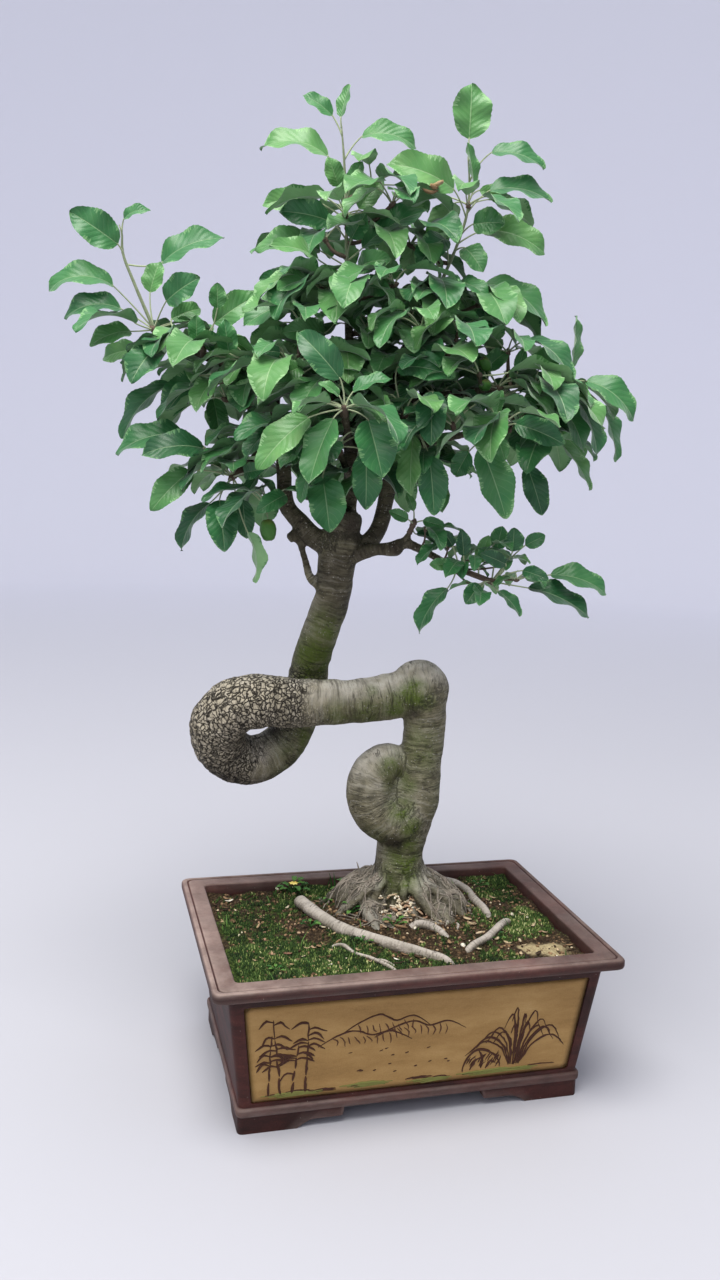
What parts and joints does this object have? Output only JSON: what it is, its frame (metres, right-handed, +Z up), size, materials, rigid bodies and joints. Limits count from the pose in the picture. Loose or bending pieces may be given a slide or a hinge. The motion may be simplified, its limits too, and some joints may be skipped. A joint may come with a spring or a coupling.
{
  "type": "fuji apple bonsai",
  "caption": "Informal upright apple bonsai: a looped, knotted trunk carries a leafy crown with young fruit, planted in a footed rectangular clay pot.",
  "frame": {"origin": "centre of the bounding box in plan, on the surface the feet stand on", "axes": "+X along the pot's long side to the viewer's right, +Y away from the viewer, +Z up"},
  "size_m": [0.6258, 0.4384, 1.109],
  "materials": {
    "pot_clay": "unglazed, matte purple-brown stoneware with an ochre slip panel on the long sides",
    "soil": "damp potting soil, mossed over",
    "drain_mesh": "moulded plastic mesh, matte",
    "bark": "grey-tan living bark, matte, finely wrinkled and cracked",
    "root_bark": "pale weathered root bark, matte",
    "foliage": "satin green leaves with paler undersides",
    "fruit_skin": "satin green unripe apple skin"
  },
  "bodies": {
    "root": {"pot": "pot_clay", "drain_mesh_left": "drain_mesh", "drain_mesh_right": "drain_mesh", "soil": "soil", "trunk": "bark", "surface_root_front": "root_bark", "surface_root_arch": "root_bark", "surface_root_right": "root_bark", "spray_a": "foliage", "spray_b": "foliage", "spray_c": "foliage", "spray_d": "foliage", "spray_e": "foliage", "spray_f": "foliage", "spray_n": "foliage", "spray_p": "foliage", "spray_g": "foliage", "spray_h": "foliage", "spray_i": "foliage", "spray_k": "foliage", "spray_j": "foliage", "spray_l": "foliage", "spray_m": "foliage", "spray_q": "foliage", "spray_r": "foliage", "spray_s": "foliage", "spray_t": "foliage", "spray_u": "foliage", "spray_x": "foliage", "spray_y": "foliage", "spray_z": "foliage", "fruit_left": "fruit_skin", "fruit_right_upper": "fruit_skin", "fruit_right_lower": "fruit_skin"}
  },
  "joints": []
}
